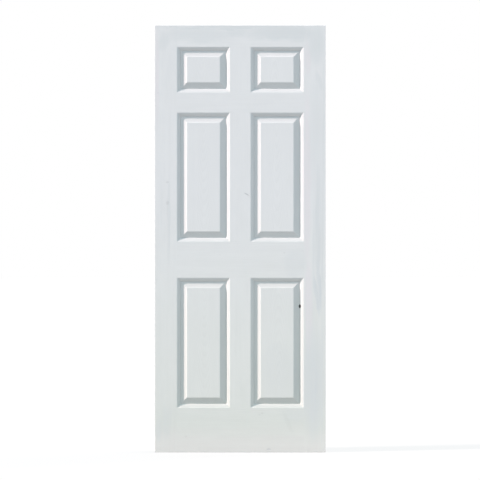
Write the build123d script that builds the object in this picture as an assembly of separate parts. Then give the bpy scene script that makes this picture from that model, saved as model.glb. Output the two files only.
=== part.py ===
from build123d import *
import os

# A painted timber door leaf: six raised panels in a frame of stiles, rails and
# muntins that are scribed, tenoned and wedged together. Millimetres. X runs
# across the leaf from the hinge stile to the lock stile, Z runs up, and the
# front face looks to -Y. The origin is at the middle of the bottom edge.

# The leaf
leaf_width = 813
leaf_height = 2032
leaf_thickness = 35
arris_radius = 1.2

# Frame faces, from the outer edge to the moulding or from moulding to moulding
stile_face = 105
muntin_face = 98
top_rail_face = 102
frieze_rail_face = 96
lock_rail_face = 173
bottom_rail_face = 213

# Heights of the panel openings; the bottom row takes what is left
top_opening = 216.5
middle_opening = 613.5

# The moulding worked on the inner edges of the frame, and the groove in it
moulding_width = 17.5
moulding_depth = 10.2
quirk = 0.5
ovolo_radius = 40
groove_width = 13
groove_depth = 11.5

# The raised panels, worked alike on both faces
raise_width = 30.8
raise_radius = 125
field_sink = 0.5

# The rails' through tenons. A rail wider than widest_tenon has two, with a
# haunch between them, and haunches close the mortises at the leaf's ends.
widest_tenon = 120
middle_haunch = 45
end_haunch = 35

# The wedges driven beside each tenon from the outer edge
wedge_length = 70
wedge_thickness = 6
wedge_short = 14

# The muntins' stub tenons
stub_length = 25
stub_shoulder = 15

# The damage on the front, each as length, width and depth: a gouge in the
# middle muntin, at its height above the lock rail, a dent above the foot, and
# a knot hole in the lip beside the lock stile, at its drop below the lock rail
gouge = (31, 6, 1)
gouge_from_arris = 17
gouge_height = 224
gouge_lean = 28
foot_dent = (24, 9.5, 0.6)
foot_dent_from_middle = 137
foot_dent_height = 14
knot_hole = (15, 8, 3.5)
knot_hole_drop = 136

# Clearances
joint_gap = 0.1
tongue_gap = 0.15
panel_float = 1.5
stub_gap = 2

# Places across the leaf. The insets run from an arris towards the opening, to
# the bottom of the groove and to the edge of the panel that floats in it.
half_leaf = leaf_thickness / 2
hinge_edge = -leaf_width / 2
hinge_arris = hinge_edge + stile_face
hinge_lip = hinge_arris + moulding_width
groove_inset = moulding_width - groove_depth
tongue_inset = groove_inset + panel_float
tenon_thickness = groove_width - 2 * joint_gap
stub_reach = muntin_face / 2 + groove_inset - stub_shoulder

# Places up the leaf
top_rail_low = leaf_height - top_rail_face
frieze_rail_high = top_rail_low - top_opening
frieze_rail_low = frieze_rail_high - frieze_rail_face
lock_rail_high = frieze_rail_low - middle_opening
lock_rail_low = lock_rail_high - lock_rail_face

# The heights of the rails' faces and of the openings between them, and where
# the openings lie across the leaf
rails = {
    "top": (top_rail_low, leaf_height),
    "frieze": (frieze_rail_low, frieze_rail_high),
    "lock": (lock_rail_low, lock_rail_high),
    "bottom": (0, bottom_rail_face),
}
rows = {
    "top": (frieze_rail_high, top_rail_low),
    "middle": (lock_rail_high, frieze_rail_low),
    "bottom": (bottom_rail_face, lock_rail_low),
}
columns = {
    "left": (hinge_arris, -muntin_face / 2),
    "right": (muntin_face / 2, -hinge_arris),
}
rail_below = {"top": "frieze", "middle": "lock", "bottom": "bottom"}
rail_above = {"top": "top", "middle": "frieze", "bottom": "lock"}


# A section run upwards between two heights
def upright(section, low, high):
    return extrude(Plane.XY.offset(low) * section, amount=high - low, dir=(0, 0, 1))


# A section run across the leaf, its x turned to point up
def crosswise(section, left, right):
    plane = Plane(origin=(left, 0, 0), x_dir=(0, 0, 1), z_dir=(1, 0, 0))
    return extrude(plane * section, amount=right - left, dir=(1, 0, 0))


# A block centred in the leaf's thickness
def block(left, right, low, high, thickness):
    middle = Pos((left + right) / 2, 0, (low + high) / 2)
    return middle * Box(right - left, thickness, high - low)


# A flat piece centred in the leaf's thickness, from the corners of its face
def plate(corners, thickness):
    face = make_face(Polyline(*corners, close=True))
    return extrude(Plane.XZ * face, amount=thickness / 2, both=True)


# The same piece on the lock side
def across(part):
    return mirror(part, about=Plane.YZ)


# What the cutters take off an inner edge: the ovolo on both faces and the
# groove between them. The arris is at x = 0, the lip at x = moulding_width.
def moulding_cut():
    top = (0, half_leaf - quirk)
    foot = (moulding_width, half_leaf - moulding_depth)
    outline = [
        Line((0, half_leaf), top),
        RadiusArc(top, foot, ovolo_radius),
        Line(foot, (moulding_width, half_leaf)),
        Line((moulding_width, half_leaf), (0, half_leaf)),
    ]
    ovolo = make_face(Curve() + outline)
    groove = Pos((groove_inset + moulding_width) / 2, 0) * Rectangle(groove_depth, groove_width)
    return ovolo + mirror(ovolo, about=Plane.XZ) + groove


# Section of a frame member whose face runs from low to high, x across its width
def member_section(low, high, moulded_low, moulded_high):
    start = low - moulding_width if moulded_low else low
    end = high + moulding_width if moulded_high else high
    section = Pos((start + end) / 2, 0) * Rectangle(end - start, leaf_thickness)
    if moulded_high:
        section -= Pos(high, 0) * moulding_cut()
    if moulded_low:
        section -= Pos(low, 0) * mirror(moulding_cut(), about=Plane.YZ)
    return section


def stile_section():
    return member_section(hinge_edge, hinge_arris, False, True)


def rail_section(name):
    low, high = rails[name]
    return member_section(low, high, name != "bottom", name != "top")


def muntin_section():
    return member_section(-muntin_face / 2, muntin_face / 2, True, True)


# The heights that each through tenon of a rail lies between
def tenon_spans(name):
    low, high = rails[name]
    start = end_haunch if name == "bottom" else low - groove_inset
    end = leaf_height - end_haunch if name == "top" else high + groove_inset
    if end - start <= widest_tenon:
        return [(start, end)]
    middle = (start + end) / 2
    return [(start, middle - middle_haunch / 2), (middle + middle_haunch / 2, end)]


# The heights of a row's stub tenons, by the rail that each is housed in. They
# reach back past the lip, into the muntin.
def stub_spans(row):
    low, high = rows[row]
    return {
        rail_below[row]: (low + groove_inset - stub_length, low + moulding_width),
        rail_above[row]: (high - moulding_width, high - groove_inset + stub_length),
    }


# A through mortise, flared towards the outer edge to take its two wedges
def mortise(low, high):
    flare_end = hinge_edge + wedge_length
    corners = [
        (hinge_edge, low - wedge_thickness),
        (flare_end, low),
        (hinge_lip, low),
        (hinge_lip, high),
        (flare_end, high),
        (hinge_edge, high + wedge_thickness),
    ]
    return plate(corners, groove_width)


# A wedge in the flare beside a tenon: way is 1 above the tenon and -1 below it
def wedge(side, way):
    blunt_end = wedge_thickness * wedge_short / wedge_length
    depth = hinge_edge + wedge_length - wedge_short
    corners = [
        (hinge_edge, side),
        (hinge_edge, side + way * (wedge_thickness - joint_gap)),
        (depth, side + way * (blunt_end - joint_gap)),
        (depth, side),
    ]
    return plate(corners, tenon_thickness)


def make_stile():
    stile = upright(stile_section(), 0, leaf_height)
    for name in rails:
        for low, high in tenon_spans(name):
            stile -= mortise(low, high)
    return stile


# A rail's ends are scribed over the stiles' mouldings and fill their grooves,
# and its tenons run on through the stiles to the outer edges. Its own edges
# are mortised for the muntins.
def make_rail(name):
    rail = crosswise(rail_section(name), hinge_arris, -hinge_arris)
    scribe = upright(offset(stile_section(), joint_gap), 0, leaf_height)
    rail = rail - scribe - across(scribe)
    for low, high in tenon_spans(name):
        tenon = block(hinge_edge, hinge_lip, low + joint_gap, high - joint_gap, tenon_thickness)
        rail = rail + tenon + across(tenon)
    for row in rows:
        if name in stub_spans(row):
            low, high = stub_spans(row)[name]
            rail -= block(-stub_reach, stub_reach, low - stub_gap, high + stub_gap, groove_width)
    return rail


# A muntin's ends are scribed over the rails below and above it, with a stub
# tenon in each
def make_muntin(row):
    muntin = upright(muntin_section(), *rows[row])
    for name, (low, high) in stub_spans(row).items():
        muntin -= crosswise(offset(rail_section(name), joint_gap), -muntin_face, muntin_face)
        reach = stub_reach - joint_gap
        muntin += block(-reach, reach, low, high, tenon_thickness)
    return muntin


# What is planed off one edge of a panel, on both faces: the flat of the tongue
# and the hollow raise up to the field. The panel's edge is at x = 0.
def raise_cut():
    tongue_half = groove_width / 2 - tongue_gap
    field_half = half_leaf - field_sink
    tongue_end = tongue_inset - moulding_width
    lip = (tongue_end, tongue_half)
    field_edge = (tongue_end - raise_width, field_half)
    outline = [
        Line((0, tongue_half), lip),
        RadiusArc(lip, field_edge, raise_radius),
        Line(field_edge, (0, field_half)),
        Line((0, field_half), (0, tongue_half)),
    ]
    waste = make_face(Curve() + outline)
    return waste + mirror(waste, about=Plane.XZ)


# A panel raised on both faces, its tongue floating in the grooves round it
def make_panel(row, column):
    left = columns[column][0] + tongue_inset
    right = columns[column][1] - tongue_inset
    low = rows[row][0] + tongue_inset
    high = rows[row][1] - tongue_inset
    panel = block(left, right, low, high, leaf_thickness - 2 * field_sink)
    cut = raise_cut()
    turned_cut = mirror(cut, about=Plane.YZ)
    panel -= upright(Pos(right, 0) * cut, low, high)
    panel -= upright(Pos(left, 0) * turned_cut, low, high)
    panel -= crosswise(Pos(high, 0) * cut, left, right)
    panel -= crosswise(Pos(low, 0) * turned_cut, left, right)
    return panel


# The wedges of one side of a rail, two beside each tenon
def make_wedges(name):
    wedges = []
    for low, high in tenon_spans(name):
        wedges += [wedge(low, -1), wedge(high, 1)]
    return wedges


# What a dent takes out of the front: the rounded rim of a wheel that has sunk
# in. Turn is how far its length is turned down from level.
def dent(size, x, face, z, turn):
    length, width, depth = size
    nose = width**2 / (8 * depth) + depth / 2
    reach = length**2 / (8 * depth) + depth / 2
    centre = Pos(x, face + depth - reach, z)
    return centre * Rot(0, turn, 0) * Torus(reach - nose, nose)


# The damage by the piece that it is in
def make_damage():
    gouge_x = muntin_face / 2 - gouge_from_arris
    gouge_z = lock_rail_high + gouge_height
    lip_face = moulding_depth - half_leaf
    hole = dent(knot_hole, -hinge_lip, lip_face, lock_rail_low - knot_hole_drop, 90)
    return {
        "middle_muntin": dent(gouge, gouge_x, -half_leaf, gouge_z, gouge_lean),
        "bottom_rail": dent(foot_dent, foot_dent_from_middle, -half_leaf, foot_dent_height, 0),
        "lock_stile": hole,
        "bottom_right_panel": hole,
    }


# The whole leaf as planed, with its outer arrises eased
def eased_leaf():
    leaf = block(hinge_edge, -hinge_edge, 0, leaf_height, leaf_thickness)
    return fillet(leaf.edges(), arris_radius)


def make_door():
    leaf = eased_leaf()
    stile = make_stile() & leaf
    parts = {"hinge_stile": stile, "lock_stile": across(stile)}
    for name in rails:
        parts[f"{name}_rail"] = make_rail(name) & leaf
        wedges = make_wedges(name)
        parts[f"{name}_rail_hinge_wedges"] = Compound(wedges)
        parts[f"{name}_rail_lock_wedges"] = Compound([across(piece) for piece in wedges])
    for row in rows:
        parts[f"{row}_muntin"] = make_muntin(row)
        for column in columns:
            parts[f"{row}_{column}_panel"] = make_panel(row, column)
    for name, damage in make_damage().items():
        parts[name] -= damage
    return parts


os.makedirs("parts", exist_ok=True)
for name, part in make_door().items():
    export_step(part, f"parts/{name}.step")
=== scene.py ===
import math
import random

import bmesh
import bpy
from mathutils import Matrix, Vector


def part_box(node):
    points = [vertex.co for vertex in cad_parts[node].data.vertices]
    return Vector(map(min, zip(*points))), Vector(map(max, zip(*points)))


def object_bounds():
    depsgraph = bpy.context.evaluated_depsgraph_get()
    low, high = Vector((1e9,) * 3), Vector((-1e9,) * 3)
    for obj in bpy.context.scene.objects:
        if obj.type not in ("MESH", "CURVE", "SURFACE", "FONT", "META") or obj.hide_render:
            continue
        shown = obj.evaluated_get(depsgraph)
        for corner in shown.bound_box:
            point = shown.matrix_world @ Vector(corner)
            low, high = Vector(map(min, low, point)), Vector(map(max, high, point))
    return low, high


# A six-panel door leaf in white primer, stood upright on a pale floor and lit low from
# the left. What is set out on the leaf is in millimetres: the marks, the depths and the
# patterns of paint and timber. The other lengths are in metres, but for the sensor's.

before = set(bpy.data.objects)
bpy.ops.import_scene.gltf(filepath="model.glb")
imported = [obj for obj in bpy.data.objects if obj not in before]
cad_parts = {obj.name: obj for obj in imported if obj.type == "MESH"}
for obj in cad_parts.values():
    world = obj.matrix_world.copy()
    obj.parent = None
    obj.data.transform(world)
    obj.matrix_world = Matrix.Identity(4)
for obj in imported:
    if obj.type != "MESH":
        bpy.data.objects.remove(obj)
cad_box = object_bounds()

# The picture: where the leaf's ends and middle line fall in its 480 pixels
PICTURE_PIXELS = 480
LEAF_TOP_ROW = 25.4
LEAF_FOOT_ROW = 452.4
LEAF_MIDDLE_COLUMN = 240.2

# The camera: its distance from the front, and its sensor in millimetres
CAMERA_DISTANCE = 9.0
SENSOR_WIDTH = 36.0

# The low light from the left: how far it runs across and down for each unit that it
# runs into the leaf
LIGHT_ACROSS = 5.13
LIGHT_DOWN = 3.19
LIGHT_ENERGY = 5.35
LIGHT_COLOUR = (1.0, 0.815, 0.775)
LIGHT_SPREAD = math.radians(3.0)

# The weaker light from behind, which shapes the back
BACK_LIGHT_TOWARDS = (2.2, 1.0, 0.8)
BACK_LIGHT_ENERGY = 1.75
BACK_LIGHT_COLOUR = (1.0, 0.79, 0.68)

# The flags: cards just behind the front, beside the hinge edge and over the top, whose
# cloth keeps most of the low light off these two edges
FLAG_BEHIND_FRONT = 0.0015
FLAG_GAP = 0.0005
FLAG_WIDTH = 0.25
FLAG_HEIGHT = 0.15
FLAG_CLOTH = (0.12, 0.12, 0.12, 1)

# The soft light from all round: its strength at the horizon, how much stronger it is
# straight above, and the background that is seen in its place
SKY_COLOUR = (0.780, 0.980, 1.10)
SKY_STRENGTH = 0.50
SKY_RISE = 0.56
BACKGROUND = (1, 1, 1, 1)

# The floor: what it throws back on the leaf, the colour in it that takes light and
# shadow, and how much of that colour is seen in its plain white
FLOOR_SIZE = 80.0
FLOOR_BOUNCE = (0.364, 0.356, 0.346, 1)
FLOOR_SHADED = (0.62, 0.63, 0.62, 1)
FLOOR_SHADOW = 0.17

# Paint and timber colours. The cool white, the green and the dust colour also serve as
# painted tints of sky and ground light.
WHITE = (0.797, 0.830, 0.791, 1)
SKY_TINTED_WHITE = (0.820, 0.843, 0.843, 1)
GREEN_STAIN_AND_GROUND_TINT = (0.785, 0.824, 0.768, 1)
DUST_AND_GROUND_TINT = (0.836, 0.845, 0.803, 1)
GREYED = (0.710, 0.753, 0.757, 1)
PINKISH = (0.818, 0.797, 0.812, 1)
WORN = (0.65, 0.675, 0.68, 1)
DIRT = (0.085, 0.088, 0.085, 1)
PALE_TIMBER = (0.66, 0.50, 0.32, 1)
DARK_TIMBER = (0.50, 0.33, 0.18, 1)

# The millimetres in a metre, and half the leaf's width, height and depth
MM = 1000
HALF_WIDTH = cad_box[1].x * MM
HALF_HEIGHT = cad_box[1].z * MM / 2
HALF_DEPTH = cad_box[1].y * MM

# Heights between which the white paint turns cool towards the top, as a painted tint of sky
# light, and greenish and dusty towards the foot, as painted tints of light from the ground,
# with dust at the foot as well, and how far it goes towards the green
COOL_FROM, COOL_TO = 250, 1350
GREEN_FROM, GREEN_TO = 330, 120
DUST_AND_TINT_FROM, DUST_AND_TINT_TO = 150, 20
GREEN_LOW = 0.8

# How far below the faces the paint is darkened with painted shade, in the mouldings and on
# the panels' slopes, and how much darker it gets
PAINTED_SHADE_FROM, PAINTED_SHADE_TO = 0.3, 2.5
SHADE_PAINTED_IN_RECESSES = 0.15

# Timber is bare in the joints and grooves: nearer the leaf's middle plane than just over
# half the thickness of a panel's tongue or of a groove, and inside the leaf's edges
BARE_TONGUE = 6.36
BARE_GROOVE = 6.51
BARE_INSIDE_EDGE = 0.8

# The front's marks end outside the grooves, and the dirt in the knot hole goes deeper
MARKS_END = -6.6
HOLE_DIRT_ENDS = -3.0

# The marks on the front are soft ovals: middle across and up, half width, half height,
# how far they lean clockwise in degrees, and strength
GREYED_MARKS = [
    (368, 1160, 15, 300, 1, 0.8),
    (372, 960, 12, 210, 0, 0.9),
    (364, 760, 13, 110, -8, 1.0),
    (379, 790, 11, 120, -3, 1.0),
    (380, 1130, 9, 290, 0, 0.5),
    (391, 1050, 8, 380, 0, 0.5),
    (351, 980, 8, 260, 0, 0.45),
    (348, 330, 60, 290, 0, 0.75),
    (363, 330, 13, 130, 0, 0.9),
    (366, 170, 16, 120, 3, 0.5),
    (391, 340, 9, 300, 0, 0.5),
    (396, 1500, 7, 460, 0, 0.5),
    (376, 1770, 14, 60, -15, 0.5),
    (365, 1950, 50, 110, 0, 0.62),
    (362, 1480, 42, 340, 0, 0.38),
    (-340, 1110, 9, 230, 0, 0.65),
    (-376, 1180, 7, 160, 0, 0.3),
    (-362, 1960, 30, 55, 20, 0.55),
    (-330, 1830, 22, 110, 12, 0.2),
    (-190, 1990, 190, 45, 0, 0.6),
    (-20, 2000, 70, 30, 0, 0.6),
    (210, 1998, 210, 48, 0, 0.85),
    (0, 2027, 410, 13, 0, 0.8),
    (-350, 150, 26, 90, 0, 0.3),
    (-388, 110, 20, 60, 0, 0.35),
    (262, 905, 62, 84, 0, 0.38),
    (190, 380, 110, 140, 0, 0.25),
    (165, 470, 50, 60, 30, 0.2),
    (255, 180, 75, 50, 0, 0.3),
]
GREENED_MARKS = [
    (228, 140, 18, 64, -22, 1.0),
    (240, 108, 30, 30, 0, 0.5),
    (-210, 110, 60, 30, 0, 0.5),
    (20, 118, 70, 24, 0, 0.5),
]
PINKISH_MARKS = [
    (318, 1300, 24, 420, 0, 0.85),
    (322, 1880, 20, 90, 0, 0.7),
    (326, 700, 22, 260, 0, 0.7),
    (-396, 1780, 14, 260, 0, 0.6),
]
DARK_SPOTS = [
    (-347, 1286, 9, 6, 0, 0.11),
    (-346, 1187, 9, 12, 0, 0.13),
    (-347, 1160, 4, 60, 0, 0.04),
    (228, 140, 13, 58, -22, 0.035),
    (39, 1222, 15, 5, 35, 0.07),
    (210, 950, 6, 5, 0, 0.07),
    (-96, 940, 5, 5, 0, 0.03),
    (104, 186, 7, 6, 0, 0.07),
    (92, 180, 6, 5, 0, 0.05),
    (-258, 76, 7, 6, 0, 0.05),
    (-392, 1711, 4, 4, 0, 0.06),
    (-402, 1650, 4, 5, 0, 0.06),
]

# The gouge and the foot's dent, whose paint is worn from just below the front, and the
# knot hole
DENT_MARKS = [
    (32, 1228, 17, 5, 28, 1.0),
    (137, 14, 13, 6.5, 0, 0.5),
]
WORN_FROM, WORN_TO = 0.01, 0.15
KNOT_HOLE_MARKS = [(284, 695, 5.5, 9.5, 0, 1.0)]

# How soft the rims of marks are, from 0 for crisp to 1, how much less they spread out of
# the oval than into it, and how many times its half size a mark can reach
SOFT_RIM = 1.0
DENT_RIM = 0.4
KNOT_HOLE_RIM = 0.3
RIM_OUTWARDS = 0.3
MARK_REACH = 1.2

# The patterns of the paint: size, detail and, where it isn't a half, roughness. Each
# piece has its own stretch of those that follow the grain, found by a shift, and the
# spread makes all of them run from about -1 to 1.
CLOUDS = (210.0, 3.0, 0.55)
PATCHES = (42.0, 3.0, 0.6)
STREAKS = (15.0, 4.0, 0.65)
BRUSH_MARKS = (1.7, 2.0)
STIPPLE = (1.1, 2.0)
SHIFT = (100, 900)
SPREAD = 2.6

# A pattern is drawn out along the grain, where a length counts for this share of itself
PATCHES_DRAWN = 0.3
STREAKS_DRAWN = 0.035
BRUSH_MARKS_DRAWN = 0.02
WANDER_DRAWN = 0.12
RIPPLE_DRAWN = 0.05

# How far the patterns carry the outlines of stains, and the heights at which paint turns
PATCHES_CARRY_ACROSS = 7.0
STREAKS_CARRY_ACROSS = 2.0
PATCHES_CARRY_UP = 30.0
PATCHES_CARRY_GREENED_UP = 8.0
CLOUDS_CARRY_LEVEL = 90.0
PATCHES_CARRY_LEVEL = 25.0
STREAKS_CARRY_DUST_AND_TINT = 30.0
CLOUDS_CARRY_DUST_AND_TINT = 20.0

# How strong stains are where the paint is even, and how the patterns break them up
STAIN_STRENGTH = 0.8
STREAKS_BREAK_STAINS = 0.45
PATCHES_BREAK_STAINS = 0.3

# How far the shade of the paint strays: from piece to piece, with each pattern, more so
# on the frame than on the panels, and over the dark rings of the timber
OWN_SHADE = 0.006
CLOUDS_SHADE = 0.010
PATCHES_SHADE = 0.014
STREAKS_SHADE = 0.016
BRUSH_MARKS_SHADE = 0.012
LATE_WOOD_SHADE = 0.02
PANEL_UNEVENNESS = 1.0
FRAME_UNEVENNESS = 1.5

# How far the shade of bare timber strays
TIMBER_STREAKS = 0.06
TIMBER_FIBRES = 0.05

# The primer's roughness, and what the patterns, the stains and bare timber add to it
ROUGHNESS = 0.47
STREAKS_ROUGHEN = 0.05
BRUSH_MARKS_ROUGHEN = 0.03
GREYED_ROUGHEN = 0.12
DUST_ROUGHENS = 0.1
BARE_ROUGHENS = 0.2

# The relief of the surface in metres, and the share that each pattern has in it
RELIEF = 0.00005
LATE_WOOD_RELIEF = 0.5
BRUSH_MARKS_RELIEF = 0.22
STIPPLE_RELIEF = 0.1

# The rings of the timber: their spacing, where in each the dark late wood starts and
# peaks, and the size, detail and reach of their wander and their ripple
RING_SPACING = 4.6
LATE_WOOD_STARTS = 0.25
LATE_WOOD_PEAKS = 0.9
WANDER = (70.0, 2.0)
WANDER_REACH = 5.0
RIPPLE = (9.0, 1.0)
RIPPLE_REACH = 0.7

# How the timber is sawn: how far the tree's heart runs aside and in front of the piece,
# and how far it draws off for each millimetre along the grain
PANEL_HEART_ASIDE = (-18, 18)
PANEL_HEART_AHEAD = (46, 54)
PANEL_TAPER = (0.07, 0.1)
FRAME_HEART_ASIDE = (95, 130)
FRAME_HEART_AHEAD = 60
FRAME_TAPER = (0.018, 0.028)


# The shaders

class Value:
    """A socket of a shader. An operator on it adds a Math node."""

    def __init__(self, shader, socket):
        self.shader = shader
        self.socket = socket

    def math(self, operation, first, second=0.0):
        sockets = {0: first, 1: second}
        return self.shader.node("ShaderNodeMath", {"operation": operation}, sockets)

    def __add__(self, other):
        return self.math("ADD", self, other)

    def __radd__(self, other):
        return self.math("ADD", other, self)

    def __sub__(self, other):
        return self.math("SUBTRACT", self, other)

    def __rsub__(self, other):
        return self.math("SUBTRACT", other, self)

    def __mul__(self, other):
        return self.math("MULTIPLY", self, other)

    def __rmul__(self, other):
        return self.math("MULTIPLY", other, self)

    def __truediv__(self, other):
        return self.math("DIVIDE", self, other)

    def __pow__(self, other):
        return self.math("POWER", self, other)

    def __abs__(self):
        return self.math("ABSOLUTE", self)

    def __lt__(self, other):
        return self.math("LESS_THAN", self, other)

    def root(self):
        return self.math("SQRT", self)

    def fraction(self):
        return self.math("FRACT", self)

    def larger(self, other):
        return self.math("MAXIMUM", self, other)


class Shader:
    """The nodes of one material, or of the world."""

    def __init__(self, tree):
        self.tree = tree
        self.tree.nodes.clear()

    def node(self, kind, settings, sockets, output=0):
        """A node: its settings first, then the values or links of its sockets."""
        node = self.tree.nodes.new(kind)
        for name, setting in settings.items():
            setattr(node, name, setting)
        for name, value in sockets.items():
            if isinstance(value, Value):
                self.tree.links.new(value.socket, node.inputs[name])
            else:
                node.inputs[name].default_value = value
        return Value(self, node.outputs[output]) if node.outputs else None

    def place(self):
        """Where a point of the piece is, in millimetres: the vector and its x, y and z."""
        metres = self.node("ShaderNodeTexCoord", {}, {}, "Object")
        point = self.scaled(metres, MM)
        parts = [self.node("ShaderNodeSeparateXYZ", {}, {0: point}, axis) for axis in "XYZ"]
        return point, *parts

    def vector(self, x, y, z):
        return self.node("ShaderNodeCombineXYZ", {}, {0: x, 1: y, 2: z})

    def scaled(self, vector, factor):
        """A vector or a colour times a number."""
        sockets = {0: vector, "Scale": factor}
        return self.node("ShaderNodeVectorMath", {"operation": "SCALE"}, sockets)

    def mix(self, mask, colour, other):
        """The colour where the mask is 0, and the other where it is 1."""
        sockets = {0: mask, 6: colour, 7: other}
        return self.node("ShaderNodeMix", {"data_type": "RGBA"}, sockets, 2)

    def step(self, value, start, end):
        """Rises smoothly from 0 to 1 as the value goes from start to end."""
        sockets = {"Value": value, "From Min": start, "From Max": end}
        return self.node("ShaderNodeMapRange", {"interpolation_type": "SMOOTHSTEP"}, sockets)

    def noise(self, point, size, detail, roughness=0.5):
        """Soft noise from about -1 to 1, with features of the size given."""
        sockets = {"Vector": point, "Scale": 1 / size, "Detail": detail, "Roughness": roughness}
        return SPREAD * (self.node("ShaderNodeTexNoise", {}, sockets) - 0.5)

    def seen(self):
        """1 on rays from the camera, a reflection or clear glass, else 0."""
        rays = ["Is Camera Ray", "Is Glossy Ray", "Is Transmission Ray"]
        camera, glossy, through = [self.node("ShaderNodeLightPath", {}, {}, ray) for ray in rays]
        return camera.larger(glossy).larger(through)


def new_material(name):
    material = bpy.data.materials.new(name)
    material.use_nodes = True
    return material, Shader(material.node_tree)


# The marks

def nearby(marks, low, high):
    """The marks that reach into a piece's box."""
    found = []
    for mark in marks:
        x, z, half_width, half_height, lean = mark[:5]
        reach = MARK_REACH * (max(half_width, half_height) if lean else half_width)
        rise = MARK_REACH * half_height
        across = low.x * MM - reach < x < high.x * MM + reach
        up = low.z * MM - rise < z < high.z * MM + rise
        if across and up:
            found.append(mark)
    return found


def soft_marks(shader, marks, x, z, rim):
    """A mask of soft ovals, the strongest where they meet."""
    total = 0.0
    for middle_x, middle_z, half_width, half_height, lean, strength in marks:
        turn = math.radians(lean)
        right = x - middle_x
        up = z - middle_z
        across = right * math.cos(turn) - up * math.sin(turn)
        along = right * math.sin(turn) + up * math.cos(turn)
        oval = (across / half_width) ** 2.0 + (along / half_height) ** 2.0
        mark = strength * shader.step(oval, 1.0 + RIM_OUTWARDS * rim, 1.0 - rim)
        total = mark.larger(total)
    return total


# The pieces

def growth_rings(shader, across, depth, along, panel, chance):
    """The timber's rings, 0 to 1 over each. A panel is sawn near the heart, so that its
    rings show as a chain of pointed arches."""
    if panel:
        taper = chance.choice([-1, 1]) * chance.uniform(*PANEL_TAPER)
        aside = chance.uniform(*PANEL_HEART_ASIDE)
        ahead = chance.uniform(*PANEL_HEART_AHEAD)
    else:
        taper = chance.uniform(*FRAME_TAPER)
        aside = chance.choice([-1, 1]) * chance.uniform(*FRAME_HEART_ASIDE)
        ahead = FRAME_HEART_AHEAD
    wandering = shader.vector(across, depth, along * WANDER_DRAWN)
    wander = WANDER_REACH * shader.noise(wandering, *WANDER)
    rippling = shader.vector(across, depth, along * RIPPLE_DRAWN)
    ripple = RIPPLE_REACH * shader.noise(rippling, *RIPPLE)
    height = along * taper + ahead
    radius = ((across - aside) ** 2.0 + (height + depth) ** 2.0).root()
    return ((radius + wander + ripple) / RING_SPACING).fraction()


class Piece:
    """One piece of the leaf as its shader has it: where a point of it lies, how its grain
    runs, and the patterns of its timber and its paint."""

    def __init__(self, shader, node, chance):
        self.shader = shader
        self.panel = "panel" in node
        self.low, self.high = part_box(node)
        point, self.x, self.y, self.z = shader.place()
        self.front = self.y < MARKS_END
        self.below_face = HALF_DEPTH - abs(self.y)

        # A rail's grain runs across the leaf, and so does that of its wedges
        middle = (self.low + self.high) / 2 * MM
        if "rail" in node:
            self.across, self.along = self.z, self.x
            across_middle, along_middle = middle.z, middle.x
        else:
            self.across, self.along = self.x, self.z
            across_middle, along_middle = middle.x, middle.z
        self.shift = chance.uniform(*SHIFT)

        across = self.across - across_middle
        along = self.along - along_middle
        self.rings = growth_rings(shader, across, self.y, along, self.panel, chance)
        rising = shader.step(self.rings, LATE_WOOD_STARTS, LATE_WOOD_PEAKS)
        self.late_wood = rising * shader.step(self.rings, 1.0, LATE_WOOD_PEAKS)

        self.clouds = shader.noise(point, *CLOUDS)
        self.patches = self.drawn_out(PATCHES, PATCHES_DRAWN)
        self.streaks = self.drawn_out(STREAKS, STREAKS_DRAWN)
        self.brush_marks = self.drawn_out(BRUSH_MARKS, BRUSH_MARKS_DRAWN)
        self.stipple = shader.noise(point, *STIPPLE)

    def drawn_out(self, pattern, share):
        """A pattern that is drawn out along the grain."""
        point = self.shader.vector(self.across + self.shift, self.y, self.along * share)
        return self.shader.noise(point, *pattern)

    def marked(self, marks, x, z, rim=SOFT_RIM):
        """A mask of those marks that reach the piece."""
        return soft_marks(self.shader, nearby(marks, self.low, self.high), x, z, rim)

    def inside(self):
        """1 in the joints and grooves, which paint doesn't reach, else 0."""
        inside = abs(self.y) < (BARE_TONGUE if self.panel else BARE_GROOVE)
        inside = inside * (abs(self.x) < HALF_WIDTH - BARE_INSIDE_EDGE)
        return inside * (abs(self.z - HALF_HEIGHT) < HALF_HEIGHT - BARE_INSIDE_EDGE)


# The paint

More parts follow.
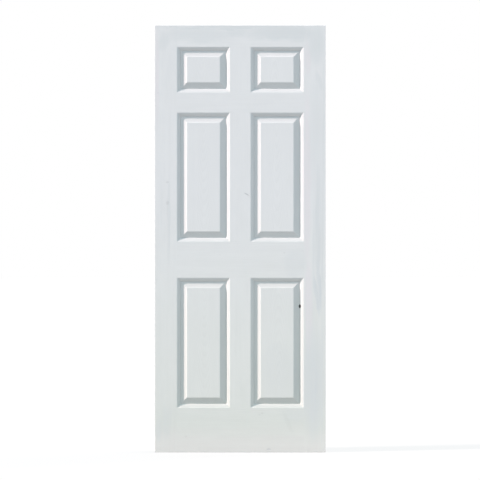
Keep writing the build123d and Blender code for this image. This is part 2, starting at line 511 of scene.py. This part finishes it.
def tinted_and_stained(piece):
    """White paint with painted tints of sky and ground light that change with height, and with
    its stains, with the masks of the grey stains and of the foot's dust and painted ground
    tint, which roughen it."""
    shader = piece.shader
    level = piece.z + CLOUDS_CARRY_LEVEL * piece.clouds + PATCHES_CARRY_LEVEL * piece.patches
    dust_and_tint_level = piece.z + STREAKS_CARRY_DUST_AND_TINT * piece.streaks + CLOUDS_CARRY_DUST_AND_TINT * piece.clouds
    # Painted light by height: a cooler tint above, as of the sky, and greener and warmer ones
    # towards the foot, as of the ground, where there is dust too
    cool = shader.step(level, COOL_FROM, COOL_TO)
    green_low = GREEN_LOW * shader.step(level, GREEN_FROM, GREEN_TO)
    dust_and_tint = shader.step(dust_and_tint_level, DUST_AND_TINT_FROM, DUST_AND_TINT_TO)

    x = piece.x + PATCHES_CARRY_ACROSS * piece.patches + STREAKS_CARRY_ACROSS * piece.streaks
    z = piece.z + PATCHES_CARRY_UP * piece.patches
    greened_z = piece.z + PATCHES_CARRY_GREENED_UP * piece.patches
    strength = STAIN_STRENGTH + STREAKS_BREAK_STAINS * piece.streaks
    strength = (strength + PATCHES_BREAK_STAINS * piece.patches) * piece.front
    greyed = piece.marked(GREYED_MARKS, x, z) * strength
    greened = piece.marked(GREENED_MARKS, x, greened_z) * strength
    pinkish = piece.marked(PINKISH_MARKS, x, z) * strength

    # The painted tints of sky and ground light go on first, then the stains
    colour = shader.mix(cool, WHITE, SKY_TINTED_WHITE)
    colour = shader.mix(green_low.larger(greened), colour, GREEN_STAIN_AND_GROUND_TINT)
    colour = shader.mix(dust_and_tint, colour, DUST_AND_GROUND_TINT)
    colour = shader.mix(pinkish, colour, PINKISH)
    return shader.mix(greyed, colour, GREYED), greyed, dust_and_tint


def shaded(piece, colour, own_shade):
    """The paint's colour with painted shade in its recesses and the unevenness of its coat."""
    # Painted shade: the paint is darker the further it lies below the faces
    recess_shade_mask = piece.shader.step(piece.below_face, PAINTED_SHADE_FROM, PAINTED_SHADE_TO)
    unevenness = PANEL_UNEVENNESS if piece.panel else FRAME_UNEVENNESS
    uneven = PATCHES_SHADE * piece.patches + STREAKS_SHADE * piece.streaks
    shade = 1.0 + own_shade - SHADE_PAINTED_IN_RECESSES * recess_shade_mask
    shade = shade + CLOUDS_SHADE * piece.clouds + unevenness * uneven
    shade = shade + BRUSH_MARKS_SHADE * piece.brush_marks - LATE_WOOD_SHADE * piece.late_wood
    return piece.shader.scaled(colour, shade)


def worn(piece, colour):
    """The paint's colour, worn where the gouge and the dent are sunk."""
    dented = piece.marked(DENT_MARKS, piece.x, piece.z, DENT_RIM) * piece.front
    sunk = piece.shader.step(piece.below_face, WORN_FROM, WORN_TO)
    return piece.shader.mix(dented * sunk, colour, WORN)


def bare_timber(piece):
    colour = piece.shader.mix(piece.rings, PALE_TIMBER, DARK_TIMBER)
    shade = 1.0 + TIMBER_STREAKS * piece.streaks + TIMBER_FIBRES * piece.brush_marks
    return piece.shader.scaled(colour, shade)


def dirtied(piece, colour):
    """The colour with the front's dark spots and the dirt in the knot hole."""
    spots = piece.marked(DARK_SPOTS, piece.x, piece.z) * piece.front
    holed = piece.marked(KNOT_HOLE_MARKS, piece.x, piece.z, KNOT_HOLE_RIM)
    holed = holed * (piece.y < HOLE_DIRT_ENDS)
    return piece.shader.mix(holed.larger(spots), colour, DIRT)


def primer(node):
    """The primed timber of one piece, its grain along the piece, with its own marks."""
    name = f"primer_{node}"
    material, shader = new_material(name)
    chance = random.Random(name)
    piece = Piece(shader, node, chance)
    inside = piece.inside()

    colour, greyed, dust_and_tint = tinted_and_stained(piece)
    colour = shaded(piece, colour, chance.uniform(-OWN_SHADE, OWN_SHADE))
    colour = worn(piece, colour)
    colour = shader.mix(inside, colour, bare_timber(piece))
    colour = dirtied(piece, colour)

    roughness = ROUGHNESS + STREAKS_ROUGHEN * piece.streaks
    roughness = roughness + BRUSH_MARKS_ROUGHEN * piece.brush_marks
    roughness = roughness + GREYED_ROUGHEN * greyed + DUST_ROUGHENS * dust_and_tint
    roughness = roughness + BARE_ROUGHENS * inside

    height = LATE_WOOD_RELIEF * piece.late_wood + BRUSH_MARKS_RELIEF * piece.brush_marks
    height = height + STIPPLE_RELIEF * piece.stipple
    relief = {"Strength": 1.0, "Distance": RELIEF, "Height": height}
    bump = shader.node("ShaderNodeBump", {}, relief)

    surface = {"Base Color": colour, "Roughness": roughness, "Normal": bump}
    finish = shader.node("ShaderNodeBsdfPrincipled", {}, surface)
    shader.node("ShaderNodeOutputMaterial", {}, {"Surface": finish})
    return material


def paint_leaf():
    for node, solid in sorted(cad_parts.items()):
        solid.data.materials.clear()
        solid.data.materials.append(primer(node))


# The floor, the lights and the camera

def lay_floor():
    """A floor that looks white and keeps a little of the leaf's shadow."""
    bpy.ops.mesh.primitive_plane_add(size=FLOOR_SIZE)
    floor = bpy.context.object
    floor.name = "floor"
    material, shader = new_material("pale_floor")
    bounce = shader.node("ShaderNodeBsdfDiffuse", {}, {"Color": FLOOR_BOUNCE})
    shadowed = shader.node("ShaderNodeBsdfDiffuse", {}, {"Color": FLOOR_SHADED})
    glow = shader.node("ShaderNodeEmission", {}, {"Strength": 1.0})
    shown = shader.node("ShaderNodeMixShader", {}, {0: FLOOR_SHADOW, 1: glow, 2: shadowed})
    surface = shader.node("ShaderNodeMixShader", {}, {0: shader.seen(), 1: bounce, 2: shown})
    shader.node("ShaderNodeOutputMaterial", {}, {"Surface": surface})
    floor.data.materials.append(material)


def light_sky():
    """Soft light that is stronger from above, and a background that looks white."""
    world = bpy.data.worlds.new("soft_room")
    world.use_nodes = True
    bpy.context.scene.world = world
    shader = Shader(world.node_tree)
    direction = shader.node("ShaderNodeTexCoord", {}, {}, "Generated")
    height = shader.node("ShaderNodeSeparateXYZ", {}, {0: direction}, "Z")
    sky_colour = shader.scaled(SKY_COLOUR, SKY_STRENGTH + SKY_RISE * height.larger(0.0))
    sky = shader.node("ShaderNodeBackground", {}, {"Color": sky_colour, "Strength": 1.0})
    white = shader.node("ShaderNodeBackground", {}, {"Color": BACKGROUND, "Strength": 1.0})
    surface = shader.node("ShaderNodeMixShader", {}, {0: shader.seen(), 1: sky, 2: white})
    shader.node("ShaderNodeOutputWorld", {}, {"Surface": surface})


def add_lamp(name, towards_light, energy, colour):
    lamp = bpy.data.lights.new(name, "SUN")
    lamp.energy = energy
    lamp.color = colour
    lamp.angle = LIGHT_SPREAD
    holder = bpy.data.objects.new(name, lamp)
    holder.rotation_euler = Vector(towards_light).to_track_quat("Z", "Y").to_euler()
    bpy.context.scene.collection.objects.link(holder)


def hang_flag(name, cloth, start_x, end_x, start_z, end_z):
    """An upright card that only light itself meets: no camera, bounce or reflection
    sees it."""
    card = bmesh.new()
    bmesh.ops.create_grid(card, x_segments=1, y_segments=1, size=0.5)
    bmesh.ops.scale(card, vec=(end_x - start_x, end_z - start_z, 1), verts=card.verts)
    upright = Matrix.Rotation(math.pi / 2, 3, "X")
    bmesh.ops.rotate(card, cent=(0, 0, 0), matrix=upright, verts=card.verts)
    depth = cad_box[0].y + FLAG_BEHIND_FRONT
    middle = ((start_x + end_x) / 2, depth, (start_z + end_z) / 2)
    bmesh.ops.translate(card, vec=middle, verts=card.verts)
    mesh = bpy.data.meshes.new(name)
    card.to_mesh(mesh)
    card.free()
    mesh.materials.append(cloth)
    flag = bpy.data.objects.new(name, mesh)
    flag.visible_camera = False
    flag.visible_diffuse = False
    flag.visible_glossy = False
    flag.visible_transmission = False
    bpy.context.scene.collection.objects.link(flag)


def hang_flags():
    low, high = cad_box
    cloth, shader = new_material("flag_cloth")
    thin = shader.node("ShaderNodeBsdfTransparent", {}, {"Color": FLAG_CLOTH})
    shader.node("ShaderNodeOutputMaterial", {}, {"Surface": thin})
    left = low.x - FLAG_WIDTH
    over_top = high.z + FLAG_GAP
    hang_flag("side_flag", cloth, left, low.x - FLAG_GAP, low.z, over_top)
    hang_flag("top_flag", cloth, left, high.x, over_top, high.z + FLAG_HEIGHT)


def place_camera():
    """Level with the picture's middle, and square to the leaf."""
    low, high = cad_box
    metres_per_pixel = (high.z - low.z) / (LEAF_FOOT_ROW - LEAF_TOP_ROW)
    middle = PICTURE_PIXELS / 2
    camera = bpy.data.cameras.new("camera")
    camera.sensor_width = SENSOR_WIDTH
    camera.lens = SENSOR_WIDTH * CAMERA_DISTANCE / (PICTURE_PIXELS * metres_per_pixel)
    holder = bpy.data.objects.new("camera", camera)
    across = (middle - LEAF_MIDDLE_COLUMN) * metres_per_pixel
    height = low.z + (LEAF_FOOT_ROW - middle) * metres_per_pixel
    holder.location = (across, low.y - CAMERA_DISTANCE, height)
    holder.rotation_euler = (math.pi / 2, 0, 0)
    bpy.context.scene.collection.objects.link(holder)
    bpy.context.scene.camera = holder


place_camera()
light_sky()
add_lamp("low_light", (-LIGHT_ACROSS, -1, LIGHT_DOWN), LIGHT_ENERGY, LIGHT_COLOUR)
add_lamp("back_light", BACK_LIGHT_TOWARDS, BACK_LIGHT_ENERGY, BACK_LIGHT_COLOUR)
hang_flags()
lay_floor()
paint_leaf()
bpy.context.scene.view_settings.view_transform = "Standard"
